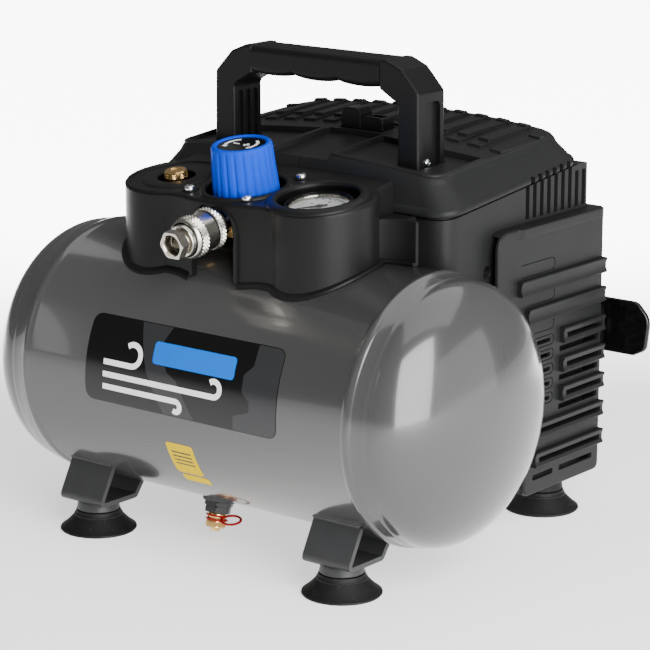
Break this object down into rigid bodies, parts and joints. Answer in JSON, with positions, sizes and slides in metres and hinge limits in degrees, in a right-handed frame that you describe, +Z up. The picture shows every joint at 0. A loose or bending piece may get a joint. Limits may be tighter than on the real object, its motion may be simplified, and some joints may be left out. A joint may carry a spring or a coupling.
{
  "type": "portable air compressor",
  "caption": "Small portable oil-free air compressor: a horizontal air tank on suction feet, a control console on top, and a motor and pump in a ribbed housing with a carrying handle.",
  "frame": {"origin": "on the ground, under the middle of the object's box", "axes": "+X along the tank to the gauge side, +Y from the control console back to the motor housing, +Z up"},
  "size_m": [0.353, 0.2851, 0.296],
  "materials": {
    "tank_paint": "gloss grey enamel",
    "bracket_paint": "grey enamel",
    "rubber": "moulded black rubber",
    "housing_plastic": "fine textured black",
    "console_plastic": "fine textured black",
    "handle_plastic": "satin black",
    "gloss_plastic": "gloss black",
    "knob_blue": "satin blue",
    "black_plastic": "black",
    "red_plastic": "red",
    "brass": "turned brass",
    "nickel": "nickel plated",
    "steel": "bare steel",
    "cast_aluminium": "cast",
    "iron": "laminated iron",
    "copper": "copper",
    "white_face": "printed white",
    "clear_glass": "clear",
    "felt": "felt"
  },
  "bodies": {
    "compressor": {"base_plate": "steel", "cable_inlet": "black_plastic", "check_valve": "brass", "control_shroud": "console_plastic", "cord_hook_left": "gloss_plastic", "cord_hook_right": "gloss_plastic", "coupler_body": "nickel", "crankcase": "cast_aluminium", "cylinder_head": "cast_aluminium", "cylinder_sleeve": "cast_aluminium", "delivery_tube": "copper", "drain_boss": "bracket_paint", "drain_tether": "red_plastic", "drain_valve_body": "brass", "foot_collar_front_left": "bracket_paint", "foot_collar_front_right": "bracket_paint", "foot_collar_rear_left": "rubber", "foot_collar_rear_right": "rubber", "front_bearing": "steel", "front_bracket_left": "bracket_paint", "front_bracket_right": "bracket_paint", "gauge_case": "black_plastic", "gauge_dial": "white_face", "gauge_lens": "clear_glass", "handle_frame": "handle_plastic", "handle_grip": "handle_plastic", "intake_filter": "felt", "main_housing": "housing_plastic", "manifold": "brass", "motor_cradle": "steel", "motor_end_bracket": "cast_aluminium", "motor_stator": "iron", "rear_bearing": "steel", "rear_shell": "housing_plastic", "regulator_bonnet": "cast_aluminium", "safety_valve_body": "brass", "suction_cup_front_left": "rubber", "suction_cup_front_right": "rubber", "suction_cup_rear_left": "rubber", "suction_cup_rear_right": "rubber", "switch_body": "black_plastic", "tank_nipple": "brass", "tank_shell": "tank_paint", "tank_strut_left": "steel", "tank_strut_right": "steel", "top_cover": "housing_plastic", "valve_plate": "steel"},
    "regulator_knob": {"regulator_knob": "knob_blue", "regulator_disc": "black_plastic"},
    "safety_valve_cap": {"safety_valve_cap": "brass"},
    "coupler_sleeve": {"coupler_sleeve": "nickel", "coupler_nut": "nickel"},
    "drain_cap": {"drain_cap": "brass"},
    "gauge_needle": {"gauge_needle": "black_plastic"},
    "switch_knob": {"switch_knob": "black_plastic"},
    "motor_shaft": {"motor_rotor": "copper", "cooling_fan": "black_plastic", "crank_disc": "steel"},
    "piston_rod": {"piston_rod": "cast_aluminium"}
  },
  "joints": [
    {"name": "regulator_turn", "type": "hinge", "parent": "compressor", "child": "regulator_knob", "pos_m": [0, -0.07482, 0.22262], "axis": [0, -0.1461, 0.9893], "range_deg": [-720, 720]},
    {"name": "safety_valve_pull", "type": "slide", "parent": "compressor", "child": "safety_valve_cap", "axis": [0, -0.1461, 0.9893], "range_m": [0, 0.003], "stiffness_N_per_m": 1500},
    {"name": "coupler_release", "type": "slide", "parent": "compressor", "child": "coupler_sleeve", "axis": [0, 0.9893, 0.1461], "range_m": [0, 0.004], "stiffness_N_per_m": 1500},
    {"name": "drain_turn", "type": "hinge", "parent": "compressor", "child": "drain_cap", "pos_m": [-0.02, -0.08198, 0.01284], "axis": [0, -0.2588, -0.9659], "range_deg": [0, 720]},
    {"name": "gauge_sweep", "type": "hinge", "parent": "compressor", "child": "gauge_needle", "pos_m": [0.055, -0.07408, 0.21757], "axis": [0, -0.1461, 0.9893], "range_deg": [-270, 0], "stiffness_Nm_per_rad": 0.002},
    {"name": "switch_pull", "type": "slide", "parent": "compressor", "child": "switch_knob", "axis": [0, 0, 1], "range_m": [0, 0.005]},
    {"name": "motor_spin", "type": "hinge", "parent": "compressor", "child": "motor_shaft", "pos_m": [0, 0.07561, 0.095], "axis": [1, 0, 0], "continuous": true},
    {"name": "piston_stroke", "type": "slide", "parent": "compressor", "child": "piston_rod", "axis": [0, 0, 1], "range_m": [-0.016, 0]}
  ]
}
